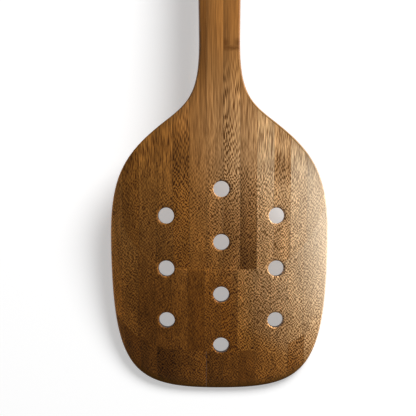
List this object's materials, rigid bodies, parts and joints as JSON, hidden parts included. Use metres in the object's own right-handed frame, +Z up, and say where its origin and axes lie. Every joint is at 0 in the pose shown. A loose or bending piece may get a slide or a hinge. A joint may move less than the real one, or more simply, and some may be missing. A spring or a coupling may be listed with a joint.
{
  "type": "slotted ladle",
  "caption": "Slotted ladle of laminated bamboo staves: broad arched head with round drain holes, narrow neck and a long gently bent handle with a hanging hole.",
  "frame": {"origin": "on the table, under the middle of the bounding box, with the ladle lying back up", "axes": "+Y along the staves from the head's tip to the handle's end, +Z up out of the back, +X to the right seen from above"},
  "size_m": [0.082, 0.32, 0.0266],
  "materials": {
    "bamboo_pale": "sanded and oiled, satin",
    "bamboo_honey": "sanded and oiled, satin",
    "bamboo_tan": "sanded and oiled, satin",
    "bamboo_brown": "sanded and oiled, satin"
  },
  "bodies": {
    "root": {"back_stave_l6": "bamboo_honey", "back_stave_l5": "bamboo_brown", "back_stave_l4": "bamboo_tan", "back_stave_l3": "bamboo_tan", "back_stave_l2": "bamboo_brown", "back_stave_l1": "bamboo_tan", "back_stave_mid": "bamboo_honey", "back_stave_r1": "bamboo_tan", "back_stave_r2": "bamboo_brown", "back_stave_r3": "bamboo_pale", "back_stave_r4": "bamboo_honey", "back_stave_r5": "bamboo_pale", "back_stave_r6": "bamboo_pale", "back_grip_stave_r2": "bamboo_brown", "core_stave_l6": "bamboo_honey", "core_stave_l5": "bamboo_pale", "core_stave_l4": "bamboo_tan", "core_stave_l3": "bamboo_tan", "core_stave_l2": "bamboo_honey", "core_stave_l1": "bamboo_brown", "core_stave_mid": "bamboo_tan", "core_stave_r1": "bamboo_brown", "core_stave_r2": "bamboo_pale", "core_stave_r3": "bamboo_honey", "core_stave_r4": "bamboo_tan", "core_stave_r5": "bamboo_pale", "core_stave_r6": "bamboo_pale", "lip_stave_l6": "bamboo_tan", "lip_stave_l5": "bamboo_brown", "lip_stave_l4": "bamboo_tan", "lip_stave_l3": "bamboo_brown", "lip_stave_l2": "bamboo_tan", "lip_stave_l1": "bamboo_honey", "lip_stave_mid": "bamboo_tan", "lip_stave_r1": "bamboo_tan", "lip_stave_r2": "bamboo_brown", "lip_stave_r3": "bamboo_tan", "lip_stave_r4": "bamboo_tan", "lip_stave_r5": "bamboo_brown", "lip_stave_r6": "bamboo_pale", "heel_stave_l1": "bamboo_honey", "heel_stave_mid": "bamboo_tan", "heel_stave_r1": "bamboo_tan", "heel_stave_r2": "bamboo_brown"}
  },
  "joints": []
}
